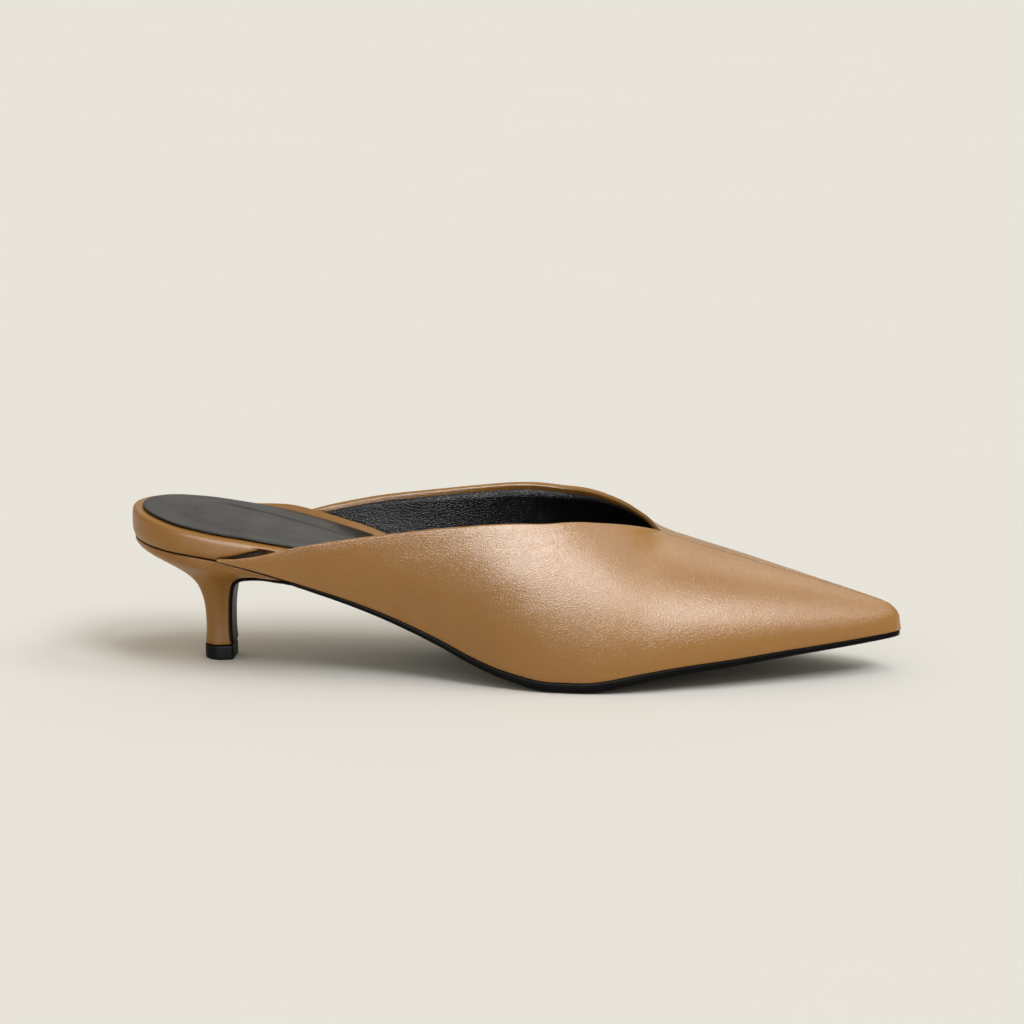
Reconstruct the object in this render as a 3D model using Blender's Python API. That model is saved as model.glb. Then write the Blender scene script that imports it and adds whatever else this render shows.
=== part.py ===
"""Pointed mule shoe on a low slim heel, right foot.

Metres, +Z up, +X to the toe, +Y to the inner side of the foot. The sole stands on z = 0.
"""
import math
from collections import namedtuple

import bmesh
import bpy

# Driving sizes
SHOE_LENGTH = 0.262
BALL_WIDTH = 0.069
WAIST_WIDTH = 0.0424
SEAT_WIDTH = 0.0532
HEEL_HEIGHT = 0.0443
INSTEP_HEIGHT = 0.0536
TOE_SPRING = 0.0107
UPPER_WALL = 0.0018
TAIL_WALL = 0.0007
TAIL_TAPER = 0.0319
OUTSOLE_THICKNESS = 0.0034
OUTSOLE_EDGE_ROUND = 0.0007
FLAP_THICKNESS = 0.0009
FLAP_EDGE_ROUND = 0.0004
FOOTBED_THICKNESS = 0.0096
FOOTBED_UNDERCUT = 0.0008
FOOTBED_RIM_ROUND = 0.0009
FOOTBED_TOE_CLEARANCE = 0.0008
RIM_WIDTH = 0.0024
SOCK_THICKNESS = 0.0018
SOCK_EDGE_HEIGHT = 0.0005
SOCK_EDGE_ROUND = 0.0030
SEAT_LENGTH = 0.058
STEM_LENGTH = 0.0087
STEM_WIDTH = 0.0104
STEM_SETBACK = 0.0241
TOP_PIECE_HEIGHT = 0.005
TOP_PIECE_PROUD = 0.0006
SEAM_GAP = 0.0003

# Places along the shoe, as shares of its length
TAIL = 0.13
THROAT = 0.6927
SOCK_END = 0.9
TOE_BOX = 0.9

# Counts
SEAT_STATIONS = 9
SIDE_STATIONS = 30
TOE_STATIONS = 16
WALL_COLUMNS = 10
ROUND_POINTS = 3
LEAST_LAST_STEP = 0.03
MERGE_DISTANCE = 0.000002
SHARP_ANGLE = 40

INSOLE_LENGTH = SHOE_LENGTH - UPPER_WALL - SEAM_GAP
GROUND_LIFT = OUTSOLE_THICKNESS + SEAM_GAP
HEEL_RISE = HEEL_HEIGHT - GROUND_LIFT

# Insole outline: half width as a share of the named width, shift to the inner side as a share
# of the ball width
OutlineRow = namedtuple("OutlineRow", "along width half shift")
OUTLINE = [
    OutlineRow(0.000, SEAT_WIDTH, 0.000, 0.000),
    OutlineRow(0.006, SEAT_WIDTH, 0.158, 0.000),
    OutlineRow(0.019, SEAT_WIDTH, 0.274, 0.000),
    OutlineRow(0.046, SEAT_WIDTH, 0.393, 0.000),
    OutlineRow(0.085, SEAT_WIDTH, 0.474, 0.000),
    OutlineRow(0.135, SEAT_WIDTH, 0.500, 0.000),
    OutlineRow(0.185, SEAT_WIDTH, 0.493, 0.000),
    OutlineRow(0.231, SEAT_WIDTH, 0.459, -0.004),
    OutlineRow(0.289, WAIST_WIDTH, 0.521, -0.011),
    OutlineRow(0.346, WAIST_WIDTH, 0.500, -0.017),
    OutlineRow(0.404, WAIST_WIDTH, 0.528, -0.019),
    OutlineRow(0.462, BALL_WIDTH, 0.377, -0.017),
    OutlineRow(0.519, BALL_WIDTH, 0.445, -0.007),
    OutlineRow(0.577, BALL_WIDTH, 0.491, 0.003),
    OutlineRow(0.627, BALL_WIDTH, 0.500, 0.011),
    OutlineRow(0.685, BALL_WIDTH, 0.475, 0.019),
    OutlineRow(0.750, BALL_WIDTH, 0.414, 0.031),
    OutlineRow(0.815, BALL_WIDTH, 0.336, 0.040),
    OutlineRow(0.877, BALL_WIDTH, 0.248, 0.045),
    OutlineRow(0.931, BALL_WIDTH, 0.164, 0.049),
    OutlineRow(0.969, BALL_WIDTH, 0.093, 0.051),
    OutlineRow(0.989, BALL_WIDTH, 0.049, 0.052),
    OutlineRow(1.000, BALL_WIDTH, 0.000, 0.052),
]

# Feather line, the underside of the last: shares of the heel rise and of the toe spring
FeatherRow = namedtuple("FeatherRow", "along heel toe")
FEATHER = [
    FeatherRow(0.000, 1.000, 0.0),
    FeatherRow(0.036, 0.973, 0.0),
    FeatherRow(0.065, 0.954, 0.0),
    FeatherRow(0.095, 0.937, 0.0),
    FeatherRow(0.130, 0.907, 0.0),
    FeatherRow(0.160, 0.862, 0.0),
    FeatherRow(0.185, 0.822, 0.0),
    FeatherRow(0.223, 0.748, 0.0),
    FeatherRow(0.261, 0.667, 0.0),
    FeatherRow(0.313, 0.553, 0.0),
    FeatherRow(0.365, 0.424, 0.0),
    FeatherRow(0.416, 0.286, 0.0),
    FeatherRow(0.469, 0.137, 0.0),
    FeatherRow(0.496, 0.080, 0.0),
    FeatherRow(0.523, 0.040, 0.0),
    FeatherRow(0.543, 0.014, 0.0),
    FeatherRow(0.560, 0.000, 0.0),
    FeatherRow(0.614, 0.000, 0.0),
    FeatherRow(0.635, 0.000, 0.065),
    FeatherRow(0.676, 0.000, 0.252),
    FeatherRow(0.725, 0.000, 0.430),
    FeatherRow(0.802, 0.000, 0.598),
    FeatherRow(0.851, 0.000, 0.720),
    FeatherRow(0.901, 0.000, 0.822),
    FeatherRow(0.950, 0.000, 0.916),
    FeatherRow(1.000, 0.000, 1.000),
]

# Topline, then from the throat on the ridge: spread is a share of the half width at the foot of
# the wall, the rises are shares of the instep height above the feather line
TopRow = namedtuple("TopRow", "along spread outer_rise inner_rise")
TOPLINE = [
    TopRow(0.1300, 1.000, 0.015, 0.015),
    TopRow(0.1600, 1.012, 0.049, 0.049),
    TopRow(0.1870, 1.030, 0.103, 0.109),
    TopRow(0.2175, 1.074, 0.195, 0.210),
    TopRow(0.2370, 1.118, 0.256, 0.271),
    TopRow(0.2670, 1.180, 0.334, 0.354),
    TopRow(0.3280, 1.255, 0.488, 0.516),
    TopRow(0.3890, 1.231, 0.652, 0.672),
    TopRow(0.4500, 1.120, 0.823, 0.834),
    TopRow(0.4810, 1.040, 0.906, 0.914),
    TopRow(0.5110, 0.951, 0.951, 0.953),
    TopRow(0.5420, 0.867, 0.980, 0.978),
    TopRow(0.5725, 0.756, 0.989, 0.985),
    TopRow(0.6030, 0.630, 0.976, 0.973),
    TopRow(0.6335, 0.474, 0.935, 0.934),
    TopRow(0.6640, 0.279, 0.864, 0.864),
    TopRow(0.6794, 0.134, 0.815, 0.815),
    TopRow(0.6927, 0.000, 0.761, 0.761),
    TopRow(0.7140, 0.000, 0.716, 0.716),
    TopRow(0.7400, 0.000, 0.657, 0.657),
    TopRow(0.7920, 0.000, 0.562, 0.562),
    TopRow(0.8435, 0.000, 0.458, 0.458),
    TopRow(0.8954, 0.000, 0.357, 0.357),
    TopRow(0.9466, 0.000, 0.255, 0.255),
    TopRow(0.9725, 0.000, 0.202, 0.202),
    TopRow(0.9855, 0.000, 0.173, 0.173),
    TopRow(0.9920, 0.000, 0.145, 0.145),
    TopRow(0.9958, 0.000, 0.117, 0.117),
    TopRow(0.9985, 0.000, 0.076, 0.076),
    TopRow(1.0000, 0.000, 0.000, 0.000),
]

# Section of the side wall: how far it leans out at its foot, and how steeply it meets the
# topline or the ridge, both in degrees
WallRow = namedtuple("WallRow", "along foot_lean top_slope")
WALL = [
    WallRow(0.130, 4.0, 88.0),
    WallRow(0.218, 14.0, 88.0),
    WallRow(0.300, 21.0, 88.0),
    WallRow(0.389, 22.0, 86.0),
    WallRow(0.450, 18.0, 80.0),
    WallRow(0.511, 13.0, 70.0),
    WallRow(0.542, 11.0, 63.0),
    WallRow(0.573, 10.0, 55.0),
    WallRow(0.603, 9.0, 46.0),
    WallRow(0.634, 9.0, 35.0),
    WallRow(0.664, 8.0, 21.0),
    WallRow(0.693, 8.0, 7.0),
    WallRow(0.740, 8.0, 4.0),
    WallRow(0.850, 8.0, 4.0),
    WallRow(1.000, 5.0, 6.0),
]
WALL_FULLNESS = 0.38
WALL_SWEEP = 0.3

# Thickness of footbed and outsole, as shares of their named thicknesses
BoardRow = namedtuple("BoardRow", "along footbed outsole")
BOARDS = [
    BoardRow(0.000, 1.03, 0.27),
    BoardRow(0.040, 0.97, 0.27),
    BoardRow(0.080, 0.87, 0.27),
    BoardRow(0.130, 0.81, 0.27),
    BoardRow(0.160, 0.89, 0.27),
    BoardRow(0.187, 0.94, 0.27),
    BoardRow(0.218, 1.04, 0.28),
    BoardRow(0.256, 1.16, 0.40),
    BoardRow(0.308, 1.26, 0.52),
    BoardRow(0.380, 1.15, 0.62),
    BoardRow(0.458, 0.94, 0.72),
    BoardRow(0.534, 0.64, 0.93),
    BoardRow(0.560, 0.53, 1.00),
    BoardRow(0.614, 0.41, 1.00),
    BoardRow(0.700, 0.35, 0.88),
    BoardRow(0.850, 0.30, 0.68),
    BoardRow(1.000, 0.28, 0.55),
]

# Heel rings from the seat down: ends along the flare (0 seat, 1 stem), heights of back and
# front (each 1 at its own end of the seat, 0 at the top piece) and widths (1 seat, 0 stem)
HeelRow = namedtuple("HeelRow", "back_in back_height front_in front_height wide front")
HEEL = [
    HeelRow(0.025, 0.958, 0.082, 0.990, 0.970, 0.905),
    HeelRow(0.080, 0.915, 0.204, 0.973, 0.890, 0.785),
    HeelRow(0.195, 0.862, 0.347, 0.948, 0.765, 0.590),
    HeelRow(0.350, 0.802, 0.490, 0.921, 0.620, 0.410),
    HeelRow(0.520, 0.735, 0.620, 0.888, 0.465, 0.255),
    HeelRow(0.680, 0.668, 0.743, 0.844, 0.325, 0.135),
    HeelRow(0.810, 0.596, 0.857, 0.779, 0.205, 0.070),
    HeelRow(0.895, 0.525, 0.927, 0.702, 0.125, 0.040),
    HeelRow(0.955, 0.425, 0.976, 0.576, 0.056, 0.016),
    HeelRow(0.988, 0.313, 0.996, 0.429, 0.018, 0.004),
    HeelRow(1.000, 0.146, 1.000, 0.200, 0.000, 0.000),
    HeelRow(0.983, 0.000, 0.984, 0.000, 0.010, 0.004),
]
STEM_FRONT_SHARE = 0.87
HEEL_WIDEST = 0.58
SEAT_FLUSH_START = 0.8
LIP_START = 1.05


def curve(xs, ys):
    """Smooth curve through the rows that never swings past them."""
    steps = [b - a for a, b in zip(xs, xs[1:])]
    slopes = [(b - a) / h for a, b, h in zip(ys, ys[1:], steps)]
    tangents = [slopes[0]]
    for h0, h1, s0, s1 in zip(steps, steps[1:], slopes, slopes[1:]):
        if s0 * s1 <= 0:
            tangents.append(0.0)
        else:
            w0 = 2 * h1 + h0
            w1 = h1 + 2 * h0
            tangents.append((w0 + w1) / (w0 / s0 + w1 / s1))
    tangents.append(slopes[-1])

    def value(x):
        x = min(max(x, xs[0]), xs[-1])
        i = max(k for k in range(len(steps)) if xs[k] <= x)
        h = steps[i]
        t = (x - xs[i]) / h
        a = (1 + 2 * t) * (1 - t) ** 2
        b = t * (1 - t) ** 2
        c = t * t * (3 - 2 * t)
        d = t * t * (t - 1)
        return a * ys[i] + b * h * tangents[i] + c * ys[i + 1] + d * h * tangents[i + 1]

    return value


def column(rows, field):
    return curve([row.along for row in rows], [getattr(row, field) for row in rows])


outline_square = curve([r.along for r in OUTLINE], [(r.width * r.half) ** 2 for r in OUTLINE])
outline_shift = column(OUTLINE, "shift")
feather_heel = column(FEATHER, "heel")
feather_toe = column(FEATHER, "toe")
top_spread = column(TOPLINE, "spread")
rise_square = {
    -1: curve([r.along for r in TOPLINE], [r.outer_rise ** 2 for r in TOPLINE]),
    1: curve([r.along for r in TOPLINE], [r.inner_rise ** 2 for r in TOPLINE]),
}
wall_lean = column(WALL, "foot_lean")
wall_slope = column(WALL, "top_slope")
footbed_share = column(BOARDS, "footbed")
outsole_share = column(BOARDS, "outsole")


def mix(a, b, t):
    return a + (b - a) * t


def ease(t):
    t = min(max(t, 0.0), 1.0)
    return t * t * (3 - 2 * t)


def half_width(s):
    return math.sqrt(max(outline_square(s), 0.0))


def centre(s):
    return BALL_WIDTH * outline_shift(s)


def feather(x):
    """Height of the feather line at a distance from the back of the insole."""
    s = min(max(x / INSOLE_LENGTH, 0.0), 1.0)
    return GROUND_LIFT + HEEL_RISE * feather_heel(s) + TOE_SPRING * feather_toe(s)


def footbed_top(x):
    s = min(max(x / INSOLE_LENGTH, 0.0), 1.0)
    return feather(x) + FOOTBED_THICKNESS * footbed_share(s)


def plan_normal(s, side):
    """Outward normal of the insole outline in plan, sideways and along."""
    step = 0.0004
    s0 = max(s - step, 0.0)
    s1 = min(s + step, 1.0)
    if s <= step:
        return -1.0, 0.0
    if s >= 1.0 - step:
        return 1.0, 0.0
    dx = (s1 - s0) * INSOLE_LENGTH
    dy = side * (half_width(s1) - half_width(s0)) + centre(s1) - centre(s0)
    length = math.hypot(dx, dy)
    return -side * dy / length, side * dx / length


def outline_point(s, side, outset):
    """Point of the insole outline, moved out by outset in plan."""
    nx, ny = plan_normal(s, side)
    x = s * INSOLE_LENGTH + nx * outset
    y = centre(s) + side * half_width(s) + ny * outset
    return x, y


def wall_at(s):
    """Wall of the upper, thinned out to the ends of its tails."""
    return mix(TAIL_WALL, UPPER_WALL, ease((s - TAIL) * SHOE_LENGTH / TAIL_TAPER))


def station_shares():
    """Stations along the shoe: close together where the seat and the toe turn round."""
    quarter = math.pi / 2
    seat = [TAIL * (1 - math.cos(quarter * k / SEAT_STATIONS)) for k in range(SEAT_STATIONS)]
    side = [mix(TAIL, THROAT, k / SIDE_STATIONS) for k in range(SIDE_STATIONS)]
    toe = [mix(THROAT, 1.0, math.sin(quarter * k / TOE_STATIONS)) for k in range(TOE_STATIONS)]
    return seat + side + toe + [1.0]


STATIONS = station_shares()
SEAT_END = SEAT_LENGTH / INSOLE_LENGTH
SEAT_SHARES = [s for s in STATIONS if s < (1 - LEAST_LAST_STEP) * SEAT_END] + [SEAT_END]


def build(name, rings, material, caps):
    """Skin a list of closed rings of points and cap the listed ends."""
    bm = bmesh.new()
    loops = [[bm.verts.new(point) for point in ring] for ring in rings]
    count = len(rings[0])
    for a, b in zip(loops, loops[1:]):
        for k in range(count):
            bm.faces.new((a[k], a[(k + 1) % count], b[(k + 1) % count], b[k]))
    for end in caps:
        ladder(bm, loops[end])
    finish(name, bm, material)


def ladder(bm, loop):
    """Close a ring by rungs between points that face each other across it."""
    count = len(loop)
    for k in range(count // 2 - 1):
        bm.faces.new((loop[k], loop[k + 1], loop[count - 2 - k], loop[count - 1 - k]))


def finish(name, bm, material):
    bmesh.ops.remove_doubles(bm, verts=bm.verts, dist=MERGE_DISTANCE)
    bmesh.ops.recalc_face_normals(bm, faces=bm.faces)
    mesh = bpy.data.meshes.new(name)
    bm.to_mesh(mesh)
    bm.free()
    mesh.materials.append(material)
    mesh.shade_smooth()
    mesh.set_sharp_from_angle(angle=math.radians(SHARP_ANGLE))
    thing = bpy.data.objects.new(name, mesh)
    bpy.context.collection.objects.link(thing)


def finish_material(name, colour, roughness, metallic=0.0):
    material = bpy.data.materials.new(name)
    material.use_nodes = True
    shader = material.node_tree.nodes["Principled BSDF"]
    shader.inputs["Base Color"].default_value = (*colour, 1.0)
    shader.inputs["Roughness"].default_value = roughness
    shader.inputs["Metallic"].default_value = metallic
    return material


def rounded_edge(outset, radius, start):
    """Levels of a board's rounded upper edge, from its upright foot to the level top."""
    levels = []
    for k in range(ROUND_POINTS):
        turn = math.pi / 2 * k / (ROUND_POINTS - 1)
        levels.append((outset - radius * (1 - math.cos(turn)), mix(start, 1.0, math.sin(turn))))
    return levels


def board_ring(s, levels, low, high):
    """Section of a board between two heights: levels hold outset and share of the height."""
    ring = []
    for side, order in ((-1, levels), (1, levels[::-1])):
        for outset, share in order:
            x, y = outline_point(s, side, outset)
            ring.append((x, y, mix(low(x), high(x), share)))
    return ring


def make_footbed(material):
    """Insole board with a rounded rim, a little narrower where it sits on the heel."""
    rings = []
    for s in STATIONS:
        shoulder = 1 - FOOTBED_RIM_ROUND / (FOOTBED_THICKNESS * footbed_share(s))
        side = -FOOTBED_TOE_CLEARANCE * ease((s - TOE_BOX) / (1 - TOE_BOX))
        levels = [
            (side - FOOTBED_UNDERCUT * ease((THROAT - s) / (THROAT - TAIL)), 0.0),
            (side, shoulder / 2),
        ]
        levels += rounded_edge(side, FOOTBED_RIM_ROUND, shoulder)
        rings.append(board_ring(s, levels, feather, footbed_top))
    build("footbed", rings, material, [])


def make_sock(material):
    """Padded insole cover, inside the rim and short of the toe."""
    foot = SOCK_EDGE_HEIGHT / SOCK_THICKNESS
    levels = [(-RIM_WIDTH, 0.0)] + rounded_edge(-RIM_WIDTH, SOCK_EDGE_ROUND, foot)
    shares = [s for s in STATIONS if s < SOCK_END] + [SOCK_END]
    rings = [board_ring(s, levels, sock_low, sock_high) for s in shares]
    build("sock", rings, material, [-1])


def sock_low(x):
    return footbed_top(x) + SEAM_GAP


def sock_high(x):
    return sock_low(x) + SOCK_THICKNESS


def top_point(s, side):
    """Point of the topline, or of the ridge past the throat."""
    foot_x, foot_y = outline_point(s, side, SEAM_GAP + wall_at(s))
    y = centre(s) + top_spread(s) * (foot_y - centre(s))
    rise = INSTEP_HEIGHT * math.sqrt(max(rise_square[side](s), 0.0))
    z = feather(s * INSOLE_LENGTH) + rise
    return s * SHOE_LENGTH, y, z


def ridge_normal(s):
    """Normal of the ridge line in the upright plane along the shoe."""
    step = 0.0002
    if s >= 1.0:
        return 1.0, 0.0
    x0, _, z0 = top_point(max(s - step, THROAT), 1)
    x1, _, z1 = top_point(min(s + step, 1.0), 1)
    length = math.hypot(x1 - x0, z1 - z0)
    return (z0 - z1) / length, (x1 - x0) / length


def wall_section(foot, top, s, side):
    """Side wall from foot to top as one cubic curve in the section."""
    lean = math.radians(wall_lean(s))
    slope = math.radians(wall_slope(s))
    reach = WALL_FULLNESS * math.dist(foot, top)
    first = (
        mix(foot[0], top[0], WALL_SWEEP),
        foot[1] + side * reach * math.sin(lean),
        foot[2] + reach * math.cos(lean),
    )
    second = (
        mix(foot[0], top[0], 1 - WALL_SWEEP),
        top[1] + side * reach * math.cos(slope),
        top[2] - reach * math.sin(slope),
    )
    points = []
    for k in range(WALL_COLUMNS):
        t = k / (WALL_COLUMNS - 1)
        weights = ((1 - t) ** 3, 3 * t * (1 - t) ** 2, 3 * t * t * (1 - t), t ** 3)
        corners = (foot, first, second, top)
        points.append(tuple(sum(w * c[a] for w, c in zip(weights, corners)) for a in range(3)))
    return points


def upper_section(s, side, inside):
    """Outer or inner face of one side of the upper at a station."""
    wall = wall_at(s)
    outset = SEAM_GAP if inside else SEAM_GAP + wall
    x, y = outline_point(s, side, outset)
    foot = (x, y, feather(x))
    top = top_point(s, side)
    if inside:
        if s < THROAT:
            slope = math.radians(wall_slope(s))
            top = (top[0], top[1] - side * wall * math.sin(slope), top[2] - wall * math.cos(slope))
        else:
            nx, nz = ridge_normal(s)
            top = (top[0] - wall * nx, top[1], top[2] - wall * nz)
    return wall_section(foot, top, s, side)


def make_upper(material):
    """Hollow upper: outer and inner faces, joined at feather line, topline and tails."""
    shares = [s for s in STATIONS if s >= TAIL]
    bm = bmesh.new()
    for side in (-1, 1):
        outer = [[bm.verts.new(p) for p in upper_section(s, side, False)] for s in shares]
        inner = [[bm.verts.new(p) for p in upper_section(s, side, True)] for s in shares]
        for grid in (outer, inner):
            for a, b in zip(grid, grid[1:]):
                for k in range(WALL_COLUMNS - 1):
                    bm.faces.new((a[k], a[k + 1], b[k + 1], b[k]))
        for i in range(len(shares) - 1):
            bm.faces.new((outer[i][0], outer[i + 1][0], inner[i + 1][0], inner[i][0]))
            if shares[i] < THROAT:
                bm.faces.new((outer[i][-1], outer[i + 1][-1], inner[i + 1][-1], inner[i][-1]))
        for k in range(WALL_COLUMNS - 1):
            bm.faces.new((outer[0][k], outer[0][k + 1], inner[0][k + 1], inner[0][k]))
    finish("upper", bm, material)


def heel_ring(row):
    """Ring of the heel, from its front corner round the back to the other front corner."""
    stem_half = STEM_WIDTH / 2
    seat_half = SEAT_WIDTH / 2
    floor = TOP_PIECE_HEIGHT + SEAM_GAP
    breast = feather(SEAT_LENGTH) - SEAM_GAP
    back_x = STEM_SETBACK * row.back_in
    front_x = mix(SEAT_LENGTH, STEM_SETBACK + STEM_LENGTH, row.front_in)
    back_z = mix(floor, HEEL_HEIGHT, row.back_height)
    front_z = mix(floor, breast, row.front_height)
    wide = mix(stem_half, seat_half, row.wide)
    front = mix(stem_half * STEM_FRONT_SHARE, seat_half, row.front)
    return egg_ring((back_x, back_z), (front_x, front_z), wide, front)


def egg_ring(back, front, wide, narrow):
    """Ring with a round back and a flat front, level across, between two ends."""
    ring = []
    for side in (-1, 1):
        half = []
        for q in [s / SEAT_END for s in SEAT_SHARES]:
            if q < HEEL_WIDEST:
                y = wide * math.sqrt(1 - (1 - q / HEEL_WIDEST) ** 2)
            else:
                y = mix(wide, narrow, ease((q - HEEL_WIDEST) / (1 - HEEL_WIDEST)))
            half.append((mix(back[0], front[0], q), side * y, mix(back[1], front[1], q)))
        ring += half[::-1] if side < 0 else half
    return ring


def seat_ring():
    """Top ring of the heel, under the footbed and out to the upper at its front."""
    ring = []
    for side in (-1, 1):
        half = []
        for s in SEAT_SHARES:
            flush = ease((s - SEAT_FLUSH_START * TAIL) / (SEAT_END - TAIL))
            x, y = outline_point(s, side, mix(-FOOTBED_UNDERCUT, SEAM_GAP + UPPER_WALL, flush))
            half.append((x, y, feather(x) - SEAM_GAP))
        ring += half[::-1] if side < 0 else half
    return ring


def heel_rings():
    return [seat_ring()] + [heel_ring(row) for row in HEEL]


def make_heel(material):
    build("heel", heel_rings(), material, [0, -1])


def path_normals(path):
    """Normals of a path in the upright plane, to the right of its course."""
    normals = []
    for i in range(len(path)):
        x0, z0 = path[max(i - 1, 0)]
        x1, z1 = path[min(i + 1, len(path) - 1)]
        length = math.hypot(x1 - x0, z1 - z0)
        normals.append(((z0 - z1) / length, (x1 - x0) / length))
    return normals


def sole_ring(s):
    """Section of the outsole under the last, with its lower edges cut back."""
    step = 0.0001
    x0 = s * INSOLE_LENGTH
    slope = (feather(x0 + step) - feather(x0 - step)) / (2 * step)
    length = math.hypot(1.0, slope)
    down = (slope / length, -1.0 / length)
    depth = OUTSOLE_THICKNESS * outsole_share(s)
    levels = [(0.0, 0.0), (0.0, depth - OUTSOLE_EDGE_ROUND), (OUTSOLE_EDGE_ROUND, depth)]
    ring = []
    for side, order in ((-1, levels), (1, levels[::-1])):
        for inset, drop in order:
            x, y = outline_point(s, side, SEAM_GAP + UPPER_WALL - inset)
            z = feather(x) - SEAM_GAP
            ring.append((x + down[0] * drop, y, z + down[1] * drop))
    return ring


def flap_ring(front, normal):
    """Section of the flap at one point of the heel's front."""
    x, half, z = front
    face = SEAM_GAP + FLAP_THICKNESS
    levels = [
        (half, SEAM_GAP),
        (half, face - FLAP_EDGE_ROUND),
        (half - FLAP_EDGE_ROUND, face),
    ]
    ring = []
    for side, order in ((-1, levels), (1, levels[::-1])):
        for y, out in order:
            ring.append((x + normal[0] * out, side * y, z + normal[1] * out))
    return ring


def make_outsole(material):
    """Thin sole from the toe to the heel seat, turned down the breast as a flap."""
    under = [s for s in STATIONS if s > LIP_START * SEAT_END]
    rings = [sole_ring(s) for s in reversed(under)]
    fronts = [ring[-1] for ring in heel_rings()]
    normals = path_normals([(x, z) for x, y, z in fronts])
    for front, normal in zip(fronts, normals[:-1] + [(1.0, 0.0)]):
        rings.append(flap_ring(front, normal))
    build("outsole", rings, material, [-1])


def make_top_piece(material):
    """Rubber tip under stem and flap, flat on the floor."""
    back = STEM_SETBACK - TOP_PIECE_PROUD
    front = STEM_SETBACK + STEM_LENGTH + SEAM_GAP + FLAP_THICKNESS
    wide = STEM_WIDTH / 2 + TOP_PIECE_PROUD
    heights = (0.0, TOP_PIECE_HEIGHT)
    rings = [egg_ring((back, z), (front, z), wide, wide * STEM_FRONT_SHARE) for z in heights]
    build("top_piece", rings, material, [0, -1])


def centre_on_floor():
    """Move every piece so that the origin lies under the middle of the shoe's box."""
    things = [thing for thing in bpy.data.objects if thing.type == "MESH"]
    points = [vertex.co for thing in things for vertex in thing.data.vertices]
    for axis in range(2):
        low = min(point[axis] for point in points)
        high = max(point[axis] for point in points)
        for thing in things:
            thing.location[axis] = -(low + high) / 2


def main():
    for thing in list(bpy.data.objects):
        bpy.data.objects.remove(thing, do_unlink=True)
    tan_leather = finish_material("tan_leather", (0.434, 0.222, 0.083), 0.42)
    heel_leather = finish_material("heel_leather", (0.40, 0.20, 0.075), 0.42)
    rim_leather = finish_material("rim_leather", (0.40, 0.20, 0.075), 0.45)
    sock_leather = finish_material("sock_leather", (0.012, 0.012, 0.013), 0.45)
    sole_black = finish_material("sole_black", (0.01, 0.01, 0.01), 0.4)
    rubber_black = finish_material("rubber_black", (0.008, 0.008, 0.008), 0.6)
    make_footbed(rim_leather)
    make_sock(sock_leather)
    make_upper(tan_leather)
    make_heel(heel_leather)
    make_outsole(sole_black)
    make_top_piece(rubber_black)
    centre_on_floor()


main()
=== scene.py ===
import bmesh
import bpy
from math import cos, exp, hypot, pi, radians, sin, sqrt, tan
from mathutils import Matrix, Vector


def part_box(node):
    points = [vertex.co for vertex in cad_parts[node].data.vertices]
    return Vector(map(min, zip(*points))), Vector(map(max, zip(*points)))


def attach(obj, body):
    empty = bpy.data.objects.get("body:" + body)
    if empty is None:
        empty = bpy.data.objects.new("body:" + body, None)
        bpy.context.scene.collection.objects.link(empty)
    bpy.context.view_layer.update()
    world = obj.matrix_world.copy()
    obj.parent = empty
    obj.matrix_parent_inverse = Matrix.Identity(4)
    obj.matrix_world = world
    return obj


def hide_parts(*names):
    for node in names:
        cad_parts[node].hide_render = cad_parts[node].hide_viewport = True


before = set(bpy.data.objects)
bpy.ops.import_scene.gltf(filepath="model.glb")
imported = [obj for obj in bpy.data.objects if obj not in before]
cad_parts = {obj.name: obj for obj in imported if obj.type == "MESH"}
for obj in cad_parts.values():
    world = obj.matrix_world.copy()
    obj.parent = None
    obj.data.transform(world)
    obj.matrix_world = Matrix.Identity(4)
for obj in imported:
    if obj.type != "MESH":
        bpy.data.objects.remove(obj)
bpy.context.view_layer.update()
scene = bpy.context.scene
print("frame loaded:", ", ".join(sorted(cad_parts)))

# The last that every piece is cut to, in metres; the back of the insole and the heel's middle
# come from the frame
last = {
    "shoeLength": 0.262,
    "insoleLength": 0.2599,
    "ballWidth": 0.069,
    "waistWidth": 0.0424,
    "seatWidth": 0.0532,
    "instepHeight": 0.0536,
    "toeSpring": 0.0107,
    "heelRise": 0.0406,
    "lift": 0.0037,
    "wall": 0.0018,
    "tailWall": 0.0007,
    "tailTaper": 0.0319,
    "seamGap": 0.0003,
    "tail": 0.13,
    "throat": 0.6927,
}
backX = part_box("footbed")[0].x
tipLow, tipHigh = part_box("top_piece")
middleY = (tipLow.y + tipHigh.y) / 2

# along, width that it follows, half of it, shift to the inner side as a share of the ball width
outlineRows = [
    (0.000, "seatWidth", 0.000, 0.000),
    (0.006, "seatWidth", 0.158, 0.000),
    (0.019, "seatWidth", 0.274, 0.000),
    (0.046, "seatWidth", 0.393, 0.000),
    (0.085, "seatWidth", 0.474, 0.000),
    (0.135, "seatWidth", 0.500, 0.000),
    (0.185, "seatWidth", 0.493, 0.000),
    (0.231, "seatWidth", 0.459, -0.004),
    (0.289, "waistWidth", 0.521, -0.011),
    (0.346, "waistWidth", 0.500, -0.017),
    (0.404, "waistWidth", 0.528, -0.019),
    (0.462, "ballWidth", 0.377, -0.017),
    (0.519, "ballWidth", 0.445, -0.007),
    (0.577, "ballWidth", 0.491, 0.003),
    (0.627, "ballWidth", 0.500, 0.011),
    (0.685, "ballWidth", 0.475, 0.019),
    (0.750, "ballWidth", 0.414, 0.031),
    (0.815, "ballWidth", 0.336, 0.040),
    (0.877, "ballWidth", 0.248, 0.045),
    (0.931, "ballWidth", 0.164, 0.049),
    (0.969, "ballWidth", 0.093, 0.051),
    (0.989, "ballWidth", 0.049, 0.052),
    (1.000, "ballWidth", 0.000, 0.052),
]

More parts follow.
